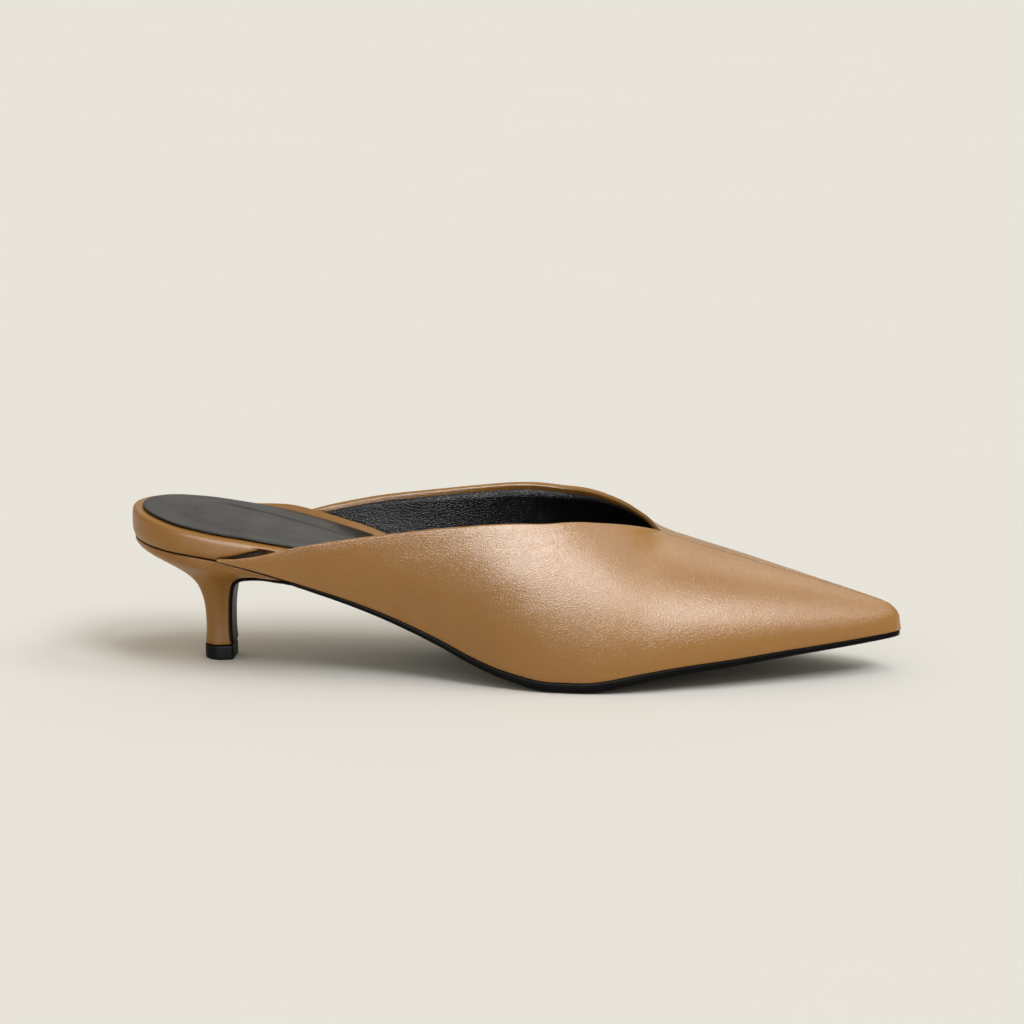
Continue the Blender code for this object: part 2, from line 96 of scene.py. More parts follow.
# along, share of the heel rise, share of the toe spring
featherRows = [
    (0.000, 1.000, 0.0),
    (0.036, 0.973, 0.0),
    (0.065, 0.954, 0.0),
    (0.095, 0.937, 0.0),
    (0.130, 0.907, 0.0),
    (0.160, 0.862, 0.0),
    (0.185, 0.822, 0.0),
    (0.223, 0.748, 0.0),
    (0.261, 0.667, 0.0),
    (0.313, 0.553, 0.0),
    (0.365, 0.424, 0.0),
    (0.416, 0.286, 0.0),
    (0.469, 0.137, 0.0),
    (0.496, 0.080, 0.0),
    (0.523, 0.040, 0.0),
    (0.543, 0.014, 0.0),
    (0.560, 0.000, 0.0),
    (0.614, 0.000, 0.0),
    (0.635, 0.000, 0.065),
    (0.676, 0.000, 0.252),
    (0.725, 0.000, 0.430),
    (0.802, 0.000, 0.598),
    (0.851, 0.000, 0.720),
    (0.901, 0.000, 0.822),
    (0.950, 0.000, 0.916),
    (1.000, 0.000, 1.000),
]

# along, thickness of the footbed and of the sole as shares of their full thickness
boardRows = [
    (0.000, 1.03, 0.27),
    (0.040, 0.97, 0.27),
    (0.080, 0.87, 0.27),
    (0.130, 0.81, 0.27),
    (0.160, 0.89, 0.27),
    (0.187, 0.94, 0.27),
    (0.218, 1.04, 0.28),
    (0.256, 1.16, 0.40),
    (0.308, 1.26, 0.52),
    (0.380, 1.15, 0.62),
    (0.458, 0.94, 0.72),
    (0.534, 0.64, 0.93),
    (0.560, 0.53, 1.00),
    (0.614, 0.41, 1.00),
    (0.700, 0.35, 0.88),
    (0.850, 0.30, 0.68),
    (1.000, 0.28, 0.55),
]


def throughRows(rows, column, power=1):
    # smooth curve through one column of a table, which never swings past its rows
    xs = [row[0] for row in rows]
    ys = [row[column] ** power for row in rows]
    steps = [b - a for a, b in zip(xs, xs[1:])]
    slopes = [(b - a) / h for a, b, h in zip(ys, ys[1:], steps)]
    tangents = [slopes[0]]
    for h0, h1, s0, s1 in zip(steps, steps[1:], slopes, slopes[1:]):
        if s0 * s1 <= 0:
            tangents.append(0.0)
        else:
            w0 = 2 * h1 + h0
            w1 = h1 + 2 * h0
            tangents.append((w0 + w1) / (w0 / s0 + w1 / s1))
    tangents.append(slopes[-1])

    def value(x):
        x = min(max(x, xs[0]), xs[-1])
        i = max(k for k in range(len(steps)) if xs[k] <= x)
        h = steps[i]
        t = (x - xs[i]) / h
        a = (1 + 2 * t) * (1 - t) ** 2
        b = t * (1 - t) ** 2
        c = t * t * (3 - 2 * t)
        d = t * t * (t - 1)
        return a * ys[i] + b * h * tangents[i] + c * ys[i + 1] + d * h * tangents[i + 1]

    return value


def faired(shape, low=0.0, high=1.0, reach=0.012):
    # the same curve with its small changes of bend evened out
    def value(s):
        s = min(max(s, low), high)
        near = min(reach, s - low, high - s)
        ends = shape(s - near) + shape(s + near)
        halves = shape(s - near / 2) + shape(s + near / 2)
        return (ends + 4 * halves + 6 * shape(s)) / 16

    return value


def mix(a, b, t):
    return a + (b - a) * t


def ease(t):
    t = min(max(t, 0.0), 1.0)
    return t * t * (3 - 2 * t)


def bump(distance, reach):
    return exp(-(distance / reach) ** 2)


def stretch(s, start, rise, end, fall):
    # 1 along a stretch of the shoe, easing in from its start and out from its end
    return ease((s - start) / rise) * (1 - ease((s - end) / fall))


def middleOf(points):
    return sum(points, Vector()) / len(points)


def placed(x, y, z, spot):
    # matrix that turns a thing to three axes and puts it at a spot
    turned = Matrix((x, y, z)).transposed().to_4x4()
    turned.translation = spot
    return turned


widthRows = [(row[0], last[row[1]] * row[2]) for row in outlineRows]
outlineSquare = faired(throughRows(widthRows, 1, 2))
outlineShift = faired(throughRows(outlineRows, 3))
featherHeel = faired(throughRows(featherRows, 1))
featherToe = faired(throughRows(featherRows, 2))
footbedShare = faired(throughRows(boardRows, 1))
soleShare = faired(throughRows(boardRows, 2))


def halfWidth(s):
    return sqrt(max(outlineSquare(s), 0.0))


def centre(s):
    return middleY + last["ballWidth"] * outlineShift(s)


def shareAt(x):
    return min(max((x - backX) / last["insoleLength"], 0.0), 1.0)


def feather(x):
    s = shareAt(x)
    return last["lift"] + last["heelRise"] * featherHeel(s) + last["toeSpring"] * featherToe(s)


def planNormal(s, side):
    # outward direction of the insole outline in plan
    tiny = 0.00001
    if s <= tiny:
        return -1.0, 0.0
    if s >= 1 - tiny:
        return 1.0, 0.0
    step = min(0.0004, s / 4, (1 - s) / 4)
    dx = 2 * step * last["insoleLength"]
    dy = side * (halfWidth(s + step) - halfWidth(s - step)) + centre(s + step) - centre(s - step)
    length = hypot(dx, dy)
    return -side * dy / length, side * dx / length


def outlinePoint(s, side, outset):
    # point of the insole outline in plan, moved out by outset
    nx, ny = planNormal(s, side)
    x = backX + s * last["insoleLength"] + nx * outset
    return x, centre(s) + side * halfWidth(s) + ny * outset


def wallAt(s):
    share = ease((s - last["tail"]) * last["shoeLength"] / last["tailTaper"])
    return mix(last["tailWall"], last["wall"], share)


def sheetThrough(bm, rows, dyeAndShade=None):
    # a grid laid through rows of points; the given function says how dark each point is painted:
    # dye where two parts meet, and painted shade in the wedge behind the tail
    layer = bm.verts.layers.float.get("dyeAndShade") or bm.verts.layers.float.new("dyeAndShade")
    along, across = len(rows) - 1, len(rows[0]) - 1
    made = bmesh.ops.create_grid(bm, x_segments=along, y_segments=across, size=0.5)
    spots = {}
    for vert in made["verts"]:
        i = round((vert.co.x + 0.5) * along)
        j = round((vert.co.y + 0.5) * across)
        vert.co = rows[i][j]
        vert[layer] = dyeAndShade(i, j) if dyeAndShade else 0.0
        spots[vert] = (i, j)
    return spots


def shown(name, data):
    thing = bpy.data.objects.new(name, data)
    scene.collection.objects.link(thing)
    return thing


weldReach = 0.000004  # points closer than this become one


def piece(name, bm, finish, nodes, levels=1, weld=weldReach):
    # welds the shape, turns its faces out and hangs it on the body
    bmesh.ops.remove_doubles(bm, verts=bm.verts, dist=weld)
    bmesh.ops.recalc_face_normals(bm, faces=bm.faces)
    mesh = bpy.data.meshes.new(name)
    bm.to_mesh(mesh)
    bm.free()
    mesh.shade_smooth()
    mesh.materials.append(finish.material)
    thing = shown(name, mesh)
    if levels:
        smooth = thing.modifiers.new("smooth", "SUBSURF")
        smooth.levels = levels
        smooth.render_levels = levels
    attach(thing, "root")
    if nodes:
        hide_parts(*nodes)
    print("made", name, "with", len(mesh.polygons), "faces")
    return thing


class Wire:
    # a socket that can be reckoned with
    def __init__(self, finish, socket):
        self.finish = finish
        self.socket = socket

    def maths(self, operation, first, second):
        return self.finish.node("ShaderNodeMath", {"operation": operation}, {0: first, 1: second})

    def __add__(self, other):
        return self.maths("ADD", self, other)

    def __radd__(self, other):
        return self.maths("ADD", other, self)

    def __mul__(self, other):
        return self.maths("MULTIPLY", self, other)

    def __rmul__(self, other):
        return self.maths("MULTIPLY", other, self)


class Finish:
    # one Principled material and the nodes that feed it
    def __init__(self, name, settings):
        self.material = bpy.data.materials.new(name)
        self.material.use_nodes = True
        self.tree = self.material.node_tree
        self.shader = self.tree.nodes["Principled BSDF"]
        for socket, value in settings.items():
            self.shader.inputs[socket].default_value = value
        self.place = self.node("ShaderNodeTexCoord", {}, {}, "Object")

    def node(self, kind, settings, inputs, output=0):
        # settings come first, as some of them change which sockets there are
        made = self.tree.nodes.new(kind)
        for key, value in settings.items():
            setattr(made, key, value)
        for key, value in inputs.items():
            if isinstance(value, Wire):
                self.tree.links.new(value.socket, made.inputs[key])
            else:
                made.inputs[key].default_value = value
        return Wire(self, made.outputs[output])

    def feed(self, socket, wire):
        self.tree.links.new(wire.socket, self.shader.inputs[socket])

    def noise(self, scale, detail):
        return self.node(
            "ShaderNodeTexNoise",
            {"normalize": True},
            {"Vector": self.place, "Scale": scale, "Detail": detail},
            "Fac",
        )

    def cells(self, scale, place):
        # distance to the edges of a net of cells, as the creases between pebbles of grain
        return self.node(
            "ShaderNodeTexVoronoi",
            {"feature": "DISTANCE_TO_EDGE"},
            {"Vector": place, "Scale": scale},
            "Distance",
        )

    def vectors(self, operation, inputs):
        return self.node("ShaderNodeVectorMath", {"operation": operation}, inputs)

    def warped(self, scale, amount):
        # the place, pushed about by a soft noise so that no pattern runs straight
        drift = self.node("ShaderNodeTexNoise", {}, {"Vector": self.place, "Scale": scale}, "Color")
        middle = self.vectors("SUBTRACT", {0: drift, 1: (0.5, 0.5, 0.5)})
        push = self.vectors("SCALE", {0: middle, "Scale": amount})
        return self.vectors("ADD", {0: self.place, 1: push})

    def between(self, value, low, high, start=0.0, end=1.0):
        return self.node(
            "ShaderNodeMapRange",
            {"clamp": True},
            {"Value": value, "From Min": low, "From Max": high, "To Min": start, "To Max": end},
            "Result",
        )

    def blend(self, share, first, second):
        # mix of two colours or colour wires: sockets 6 and 7 in, 2 out
        return self.node("ShaderNodeMix", {"data_type": "RGBA"}, {0: share, 6: first, 7: second}, 2)

    def shades(self, share, dark, light):
        return self.blend(share, (*dark, 1.0), (*light, 1.0))

    def relief(self, height, depth):
        bumps = {"Strength": 1.0, "Distance": depth, "Height": height}
        self.feed("Normal", self.node("ShaderNodeBump", {}, bumps, "Normal"))


# The tan leather: light and dark tone of its mottling, a dark colour for dye in the joints and for
# painted shade in the wedge behind the tail, grain cells and pores a metre
tanLook = {
    "base": (0.372, 0.173, 0.030),
    "dark": (0.312, 0.136, 0.022),
    "jointAndShade": (0.045, 0.016, 0.008),
    "grain": 1350,
    "pores": 5200,
    "depth": 0.00005,
    "roughness": 0.23,
    "coat": 0.12,
}


def tanFinish(name, tone=1.0, grain=1.0, roughness=0.0, level=0.5):
    # smooth calf with a fine pebbled grain and a little mottling
    finish = Finish(name, {
        "IOR": 1.5,
        "Coat Weight": tanLook["coat"],
        "Coat Roughness": tanLook["roughness"],
        "Specular IOR Level": level,
    })
    place = finish.warped(420, 0.0009)
    crease = finish.between(finish.cells(tanLook["grain"], place), 0.0, 0.30)
    pores = finish.noise(tanLook["pores"], 1.0)
    mottle = finish.between(finish.noise(38, 3.0), 0.3, 0.7)
    fine = finish.between(finish.noise(900, 2.0), 0.25, 0.75)
    share = mottle * 0.55 + fine * 0.2 + crease * 0.25
    dark = [c * tone for c in tanLook["dark"]]
    light = [c * tone for c in tanLook["base"]]
    # dye gathers dark where two leathers meet; the same dark colour is painted shade in the wedge
    # behind the tail's edge
    jointAndShade = finish.node("ShaderNodeAttribute", {"attribute_name": "dyeAndShade"}, {}, "Fac")
    dyedAndShaded = finish.blend(jointAndShade, finish.shades(share, dark, light), (*tanLook["jointAndShade"], 1.0))
    finish.feed("Base Color", dyedAndShaded)
    base = tanLook["roughness"] + roughness
    worn = fine * 0.6 + mottle * 0.4
    finish.feed("Roughness", finish.between(worn, 0.0, 1.0, base + 0.05, base - 0.04))
    finish.relief(crease * 0.8 + pores * 0.35, tanLook["depth"] * grain)
    return finish


def blackFinish(name, shade, roughness, grain, depth, level):
    # black leather or rubber: grain is cells a metre, depth how far its creases go in
    finish = Finish(name, {"IOR": 1.5, "Specular IOR Level": level})
    place = finish.warped(grain * 0.4, 0.45 / grain)
    crease = finish.between(finish.cells(grain, place), 0.0, 0.3)
    dust = finish.between(finish.noise(120, 3.0), 0.3, 0.75)
    fine = finish.noise(grain * 3.1, 2.0)
    worn = dust * 0.6 + fine * 0.4
    finish.feed("Base Color", finish.shades(worn, [c * 0.7 for c in shade], shade))
    finish.feed("Roughness", finish.between(dust, 0.0, 1.0, roughness - 0.04, roughness + 0.05))
    finish.relief(crease + fine * 0.3, depth)
    return finish


vampLeather = tanFinish("vamp leather")
rimLeather = tanFinish("rim leather", tone=0.92, grain=0.7, roughness=0.17, level=0.28)
# the heel's cover is the vamp's tan leather; its tone is lowered to 0.88 as painted shade, since
# the heel stands in shade under the seat
shadedHeelLeather = tanFinish("heel leather", tone=0.88, grain=0.7, roughness=0.19, level=0.24)
threadFinish = tanFinish("seam thread", tone=0.55, grain=0.3, roughness=0.15)
liningLeather = blackFinish("lining leather", (0.003, 0.003, 0.003), 0.34, 1200, 0.00009, 0.22)
sockLeather = blackFinish("sock leather", (0.007, 0.0065, 0.006), 0.36, 2200, 0.000014, 0.3)
soleBlack = blackFinish("sole black", (0.004, 0.004, 0.004), 0.36, 2600, 0.00001, 0.05)
tipRubber = blackFinish("tip rubber", (0.004, 0.004, 0.004), 0.5, 1800, 0.00002, 0.1)
print("finishes mixed")

# The upper: topline and ridge, and the section of its side wall
upper = {
    "wallFullness": 0.38,
    "wallSweep": 0.3,
    "foldLift": 0.00012,
    "foldWidth": 0.0062,
    "foldStart": 0.2,
    "foldEase": 0.1,
    "fairing": 0.034,
    "blend": 0.034,
    "seamShift": 0.0033,
    "seamStart": 0.60,
    "outerTilt": 3.0,
    "innerTilt": 8.0,
    "seamDepth": 0.00032,
    "seamWidth": 0.00042,
    "seamPillow": 0.00010,
    "seamEnd": 0.985,
    "seamEase": 0.004,
    "pillowOff": 0.0012,
    "pillowWidth": 0.0007,
    "throatTurn": 0.03,
    "footTurn": 0.0009,
    "rimEase": 0.02,
    # how dark the foot of the tail is dyed at its joint, and how dark the wedge behind the tail is
    # painted as shade
    "tailDyeAndShade": 0.85,
    "innerColumns": 12,
    "sideStations": 84,
    "toeStations": 46,
    "wallColumns": 20,
}

# along, spread of the half width, rise on the outer and on the inner side
toplineRows = [
    (0.1300, 1.000, 0.015, 0.015),
    (0.1600, 1.012, 0.049, 0.049),
    (0.1870, 1.030, 0.103, 0.109),
    (0.2175, 1.074, 0.195, 0.210),
    (0.2370, 1.118, 0.256, 0.271),
    (0.2670, 1.180, 0.334, 0.354),
    (0.3280, 1.255, 0.488, 0.516),
    (0.3890, 1.231, 0.652, 0.672),
    (0.4500, 1.120, 0.823, 0.834),
    (0.4810, 1.040, 0.906, 0.914),
    (0.5110, 0.951, 0.951, 0.953),
    (0.5420, 0.857, 0.980, 0.978),
    (0.5725, 0.750, 0.989, 0.985),
    (0.6030, 0.628, 0.976, 0.973),
    (0.6335, 0.474, 0.935, 0.934),
    (0.6640, 0.279, 0.864, 0.864),
    (0.6794, 0.134, 0.815, 0.815),
    (0.6927, 0.000, 0.761, 0.761),
]

# past the throat: along, rise of the crest over the toes
crestRows = [
    (0.7140, 0.716),
    (0.7400, 0.657),
    (0.7920, 0.562),
    (0.8435, 0.458),
    (0.8954, 0.357),
    (0.9466, 0.255),
    (0.9725, 0.202),
    (0.9855, 0.173),
    (0.9920, 0.145),
    (0.9958, 0.117),
    (0.9985, 0.076),
    (1.0000, 0.000),
]
toplineRows += [(s, 0.0, rise, rise) for s, rise in crestRows]

# along, lean of the wall at its foot and slope where it meets topline or ridge, in degrees
wallRows = [
    (0.130, 4.0, 88.0),
    (0.218, 14.0, 88.0),
    (0.300, 21.0, 88.0),
    (0.389, 22.0, 86.0),
    (0.450, 18.0, 80.0),
    (0.511, 13.0, 70.0),
    (0.542, 11.0, 63.0),
    (0.573, 10.0, 55.0),
    (0.603, 9.0, 46.0),
    (0.634, 9.0, 35.0),
    (0.664, 8.0, 21.0),
    (0.693, 8.0, 7.0),
    (0.740, 8.0, 4.0),
    (0.850, 8.0, 4.0),
    (1.000, 5.0, 6.0),
]

# soft creases: side, along, share up the wall, half length, half width, depth, slant in degrees
creaseRows = [
    (-1, 0.425, 0.66, 0.0080, 0.0022, 0.00014, 24),
    (-1, 0.455, 0.62, 0.0085, 0.0024, 0.00012, 30),
    (-1, 0.520, 0.50, 0.0110, 0.0034, 0.00010, 18),
    (1, 0.430, 0.66, 0.0080, 0.0022, 0.00014, 26),
    (1, 0.470, 0.66, 0.0120, 0.0026, 0.00012, 22),
]

# where columns gather under the topline or the ridge: distance from it, most share of the wall
edgeColumns = [
    (0.0045, 0.30),
    (0.0030, 0.22),
    (0.0020, 0.15),
    (0.0013, 0.10),
    (0.0008, 0.065),
    (0.0005, 0.040),
    (0.00025, 0.020),
    (0.0, 0.0),
]

# points over the rolled rim, in degrees from the outer face to the inner
rimAngles = (25, 55, 90, 125, 155)


def topline(column, power=1):
    shape = throughRows(toplineRows, column, power)
    return faired(shape, last["tail"], last["throat"], upper["fairing"])


topSpread = topline(1)
topRise = {-1: topline(2, 2), 1: topline(3, 2)}
ridgeRise = faired(throughRows(toplineRows, 2, 2), last["throat"], 1.0)
wallLean = faired(throughRows(wallRows, 1), last["tail"], 1.0)
wallSlope = faired(throughRows(wallRows, 2), last["tail"], 1.0)


def seamShare(s):
    # how fully the seam keeps to the outer side of the crest: none by the tip
    start = upper["seamStart"]
    return stretch(s, start, last["throat"] - start, 0.80, 0.2)


def topPoint(s, side):
    footY = outlinePoint(s, side, last["seamGap"] + wallAt(s))[1]
    y = centre(s) + topSpread(s) * (footY - centre(s)) - upper["seamShift"] * seamShare(s)
    height = topRise[side](s) if s < last["throat"] else ridgeRise(s)
    rise = last["instepHeight"] * sqrt(max(height, 0.0))
    z = feather(backX + s * last["insoleLength"]) + rise
    return Vector((backX + s * last["shoeLength"], y, z))


def ridgeNormal(s):
    step = 0.0006
    if s >= 1.0:
        return Vector((1.0, 0.0, 0.0))
    run = topPoint(min(s + step, 1.0), 1) - topPoint(max(s - step, last["throat"]), 1)
    return Vector((-run.z, 0.0, run.x)).normalized()


def sideSlope(s, side):
    # slope of the wall at its top in degrees: past the throat it rises on over the crest
    tilt = upper["outerTilt"] if side < 0 else -upper["innerTilt"]
    return wallSlope(s) + tilt * seamShare(s)


def topNormal(s, side):
    # outward normal of the wall at its top: square to the wall, turning into the ridge's own
    slope = radians(sideSlope(s, side))
    flat = Vector((0.0, side * sin(slope), cos(slope)))
    turn = ease((s - last["throat"]) / upper["throatTurn"] + 1.0)
    return flat.lerp(ridgeNormal(max(s, last["throat"])), turn).normalized()


class Wall:
    # one side of the upper at a station: outer or inner face, from its foot to its top
    def __init__(self, s, side, depth):
        self.s = s
        self.side = side
        outset = last["seamGap"] + wallAt(s) - depth
        x, y = outlinePoint(s, side, outset)
        self.foot = Vector((x, y, feather(x)))
        self.top = topPoint(s, side) - topNormal(s, side) * depth
        lean = radians(wallLean(s))
        slope = radians(sideSlope(s, side))
        self.span = (self.top - self.foot).length
        reach = upper["wallFullness"] * self.span
        out = Vector((0.0, side, 0.0))
        up = Vector((0.0, 0.0, 1.0))
        self.first = self.foot + (out * sin(lean) + up * cos(lean)) * reach
        self.second = self.top + (out * cos(slope) - up * sin(slope)) * reach
        self.first.x = mix(self.foot.x, self.top.x, upper["wallSweep"])
        self.second.x = mix(self.foot.x, self.top.x, 1 - upper["wallSweep"])
        self.speed = max(3 * reach, 0.000001)

    def at(self, t):
        low = self.foot * (1 - t) ** 3 + self.first * (3 * t * (1 - t) ** 2)
        high = self.second * (3 * t * t * (1 - t)) + self.top * t ** 3
        return low + high

    def normal(self, t):
        run = self.at(min(t + 0.01, 1.0)) - self.at(max(t - 0.01, 0.0))
        flat = Vector((0.0, self.side * run.z, -self.side * run.y))
        return flat.normalized() if flat.length > 0.0000001 else Vector((1.0, 0.0, 0.0))

    def down(self, distance, most):
        # share up the wall at a distance under its top
        return 1 - min(distance / self.speed, most)


def topDrop(s):
    # how far the rolled topline edge reaches down, nothing past the throat
    return wallAt(s) / 2 * ease((last["throat"] - s) / upper["rimEase"])


def wallRelief(wall, t):
    # how far the outer face stands out: folded topline, seam with its pillow, soft creases
    s = wall.s
    below = (1 - t) * wall.speed
    fade = ease((s - upper["foldStart"]) / upper["foldEase"])
    lift = upper["foldLift"] * fade * (1 - ease(below / upper["foldWidth"] - 0.35))
    lift *= 1 - ease((s - last["throat"]) / upper["seamEase"])
    sewn = stretch(s, last["throat"], upper["seamEase"], upper["seamEnd"], 0.012)
    lift -= sewn * upper["seamDepth"] * bump(below, upper["seamWidth"])
    lift += sewn * upper["seamPillow"] * bump(below - upper["pillowOff"], upper["pillowWidth"])
    for side, along, height, length, width, depth, slant in creaseRows:
        if side == wall.side:
            dx = (s - along) * last["shoeLength"]
            dz = (t - height) * wall.span
            turn = radians(slant)
            run = dx * cos(turn) + dz * sin(turn)
            across = dz * cos(turn) - dx * sin(turn)
            swell = 0.6 * bump(across - 2.2 * width, 1.4 * width)
            lift -= depth * bump(run, length) * (bump(across, width) - swell)
    return lift


def upperRing(s, side):
    # closed section of the wall: from the inner foot under it, up outside, over and down inside
    outer = Wall(s, side, 0.0)
    inner = Wall(s, side, wallAt(s))
    drop = topDrop(s)
    turn = min(upper["footTurn"], 0.25 * outer.span)
    low = turn / outer.speed
    ring = [inner.foot.copy(), inner.foot.lerp(outer.foot, 0.55), inner.foot.lerp(outer.foot, 0.85)]
    ring.append(outer.at(0.3 * low) - outer.normal(0.0) * (0.12 * turn))
    reach = edgeColumns[0][0]
    tops = [outer.down(d + drop * (1 - d / reach), most) for d, most in edgeColumns]
    columns = upper["wallColumns"]
    shares = [mix(low, tops[0], k / columns) for k in range(columns)] + tops
    for t in shares:
        ring.append(outer.at(t) + outer.normal(t) * wallRelief(outer, t))
    normal = topNormal(s, side)
    rise = (outer.top - outer.at(0.98)).normalized()
    half = wallAt(s) / 2
    middle = outer.top - normal * half - rise * drop
    for angle in rimAngles:
        a = radians(angle)
        ring.append(middle + normal * half * cos(a) + rise * drop * sin(a))
    count = upper["innerColumns"]
    for k in range(count + 1):
        ring.append(inner.at(mix(inner.down(drop, 0.3), 0.0, k / count)))
    return ring


def upperStations():
    tail = last["tail"]
    throat = last["throat"]
    stations = []
    for k in range(upper["sideStations"]):
        q = k / upper["sideStations"]
        stations.append(mix(tail, throat, 0.5 * q + 0.5 * sin(q * pi / 2)))
    for k in range(upper["toeStations"]):
        q = k / upper["toeStations"]
        stations.append(mix(throat, 1.0, 0.35 * q + 0.65 * sin(q * pi / 2)))
    return stations + [1.0]


def blended(rows, stations, shares):
    # evens every column out along the shoe, most in mid wall and not at all at foot and top
    steps = [
        (stations[min(k + 1, len(stations) - 1)] - stations[max(k - 1, 0)]) / 2
        for k in range(len(stations))
    ]
    result = []
    for i, s in enumerate(stations):
        ring = []
        for j, point in enumerate(rows[i]):
            room = min(s - last["tail"], 1.0 - s) / 2
            reach = min(upper["blend"] * shares[j], room)
            if reach < 0.002:
                ring.append(point)
                continue
            total = Vector()
            weight = 0.0
            for k, other in enumerate(stations):
                if abs(other - s) < 2.4 * reach:
                    share = steps[k] * bump(other - s, reach)
                    total += rows[k][j] * share
                    weight += share
            drift = total / weight - point
            drift.x = 0.0
            ring.append(point + drift)
        result.append(ring)
    return result


def columnShares():
    # how strongly each column of the section is evened out
    columns = upper["wallColumns"]
    outer = [sin(pi * min(k / (columns + 2), 1.0)) ** 0.7 for k in range(columns)]
    outer += [0.55, 0.4, 0.25, 0.12, 0.05, 0.0, 0.0, 0.0]
    count = upper["innerColumns"]
    inner = [sin(pi * k / count) ** 0.7 for k in range(count + 1)]
    return [0.0] * 4 + outer + [0.0] * len(rimAngles) + inner


def makeUpper():
    # one sheet each side; past the throat the rim is left out and the halves meet in the seam
    stations = upperStations()
    bm = bmesh.new()
    firstRound = 3 + upper["wallColumns"] + len(edgeColumns)
    lastRound = firstRound + len(rimAngles) + 1
    footDye = {1: upper["tailDyeAndShade"], 2: upper["tailDyeAndShade"], 3: 0.1}
    meeting = {}
    for side in (-1, 1):
        rows = blended([upperRing(s, side) for s in stations], stations, columnShares())
        end = middleOf(rows[0])
        end.x -= 0.0002
        rows.insert(0, [end] * len(rows[0]))
        spots = sheetThrough(bm, rows, lambda i, j: footDye.get(j, 0.0))
        for vert, (i, j) in spots.items():
            atThroat = i == upper["sideStations"] + 1 and firstRound < j < lastRound
            onSeam = i > upper["sideStations"] and j in (firstRound, lastRound)
            if atThroat or onSeam:
                meeting.setdefault((i, j), []).append(vert)
        gone = []
        for face in {face for vert in spots for face in vert.link_faces}:
            along = min(spots[vert][0] for vert in face.verts)
            across = min(spots[vert][1] for vert in face.verts)
            if firstRound <= across < lastRound and along > upper["sideStations"]:
                gone.append(face)
        bmesh.ops.delete(bm, geom=gone, context="FACES_ONLY")
    for pair in meeting.values():
        middle = middleOf([vert.co for vert in pair])
        for vert in pair:
            vert.co = middle  # the halves meet here, so the weld closes the seam
    piece("upper_leather", bm, vampLeather, ["upper"])


makeUpper()

# The lining: a thin black skin inside the wall, its edge under a turned-in band of the leather
lining = {
    "thickness": 0.00020,
    "band": 0.0012,
    "bandEnd": 0.012,
    "off": 0.00008,
    "columns": 16,
    "start": 0.035,
    "end": 0.985,
}


def liningRow(s, side):
    wall = Wall(s, side, wallAt(s) + lining["off"])
    past = ease((s - last["throat"]) / lining["bandEnd"])
    band = (topDrop(s) + lining["band"]) * (1 - past)
    top = wall.down(band, 0.6)
    columns = lining["columns"]
    return [wall.at(mix(0.03, top, k / columns)) for k in range(columns + 1)]


def makeLining():
    start = last["tail"] + lining["start"]
    stations = [s for s in upperStations() if start < s < lining["end"]]
    bm = bmesh.new()
    columns = lining["columns"]
    shares = [sin(pi * k / columns) ** 0.7 for k in range(columns + 1)]
    for side in (-1, 1):
        sheetThrough(bm, blended([liningRow(s, side) for s in stations], stations, shares))
    thing = piece("upper_lining", bm, liningLeather, [], levels=0)
    skin = thing.modifiers.new("skin", "SOLIDIFY")
    skin.thickness = lining["thickness"]
    skin.offset = -1.0
    skin.use_even_offset = True


makeLining()

# The insole board in its leather wrap
footbed = {
    "thickness": 0.0096,
    "undercut": 0.0005,
    "rimRound": 0.0011,
    "belly": 0.00025,
    "toeClearance": 0.0008,
    "toeBox": 0.9,
    "archLip": 0.0030,
    "lipWidth": 0.0030,
    "arch": (0.120, 0.085, 0.38, 0.14),
    "pinch": 0.0030,
    "pinchStart": (0.128, 0.024),
    "pinchEnd": 0.188,
    "innerPinchEnd": 0.150,
    "pinchFall": 0.016,
    "pinchEdge": 0.0004,
    "wedge": 0.0012,
    "wedgeRun": (0.132, 0.045, 0.187, 0.016),
    "gathered": (0.112, 0.016, 0.205, 0.012),
    "jointDye": (1.0, 1.0, 0.15),
    "sideLevels": 8,
}


def footbedTop(x):
    return feather(x) + footbed["thickness"] * footbedShare(shareAt(x))


def boardStations(low, high):
    # close together where the seat and the toe turn round
    seats, sides, toes = 22, 64, 34
    seat = [last["tail"] * (1 - cos(pi / 2 * k / seats)) for k in range(seats)]
    side = [mix(last["tail"], last["throat"], k / sides) for k in range(sides)]
    toe = [mix(last["throat"], 1.0, sin(pi / 2 * k / toes)) for k in range(toes)]
    between = [s for s in seat + side + toe if low < s < high - 0.002]
    return [low] + between + [high]


def archLip(s, side):
    # the inner side of the waist turns up under the arch of the foot
    if side < 0:
        return 0.0
    return footbed["archLip"] * stretch(s, *footbed["arch"])


def wedgeTop(s, side):
    # height over the feather line up to which the wrap is drawn in behind the tail's edge
    height = last["instepHeight"] * sqrt(max(topRise[side](s), 0.0))
    return height + footbed["wedge"] * stretch(s, *footbed["wedgeRun"])


def tailPinch(s, side, height):
    # how far the wrap is drawn in behind the tail, up to the wedge's top
    end = footbed["pinchEnd"] if side < 0 else footbed["innerPinchEnd"]
    depth = footbed["pinch"] * stretch(s, *footbed["pinchStart"], end, footbed["pinchFall"])
    edge = footbed["pinchEdge"]
    return depth * (1 - ease((height - wedgeTop(s, side) + edge / 2) / edge))


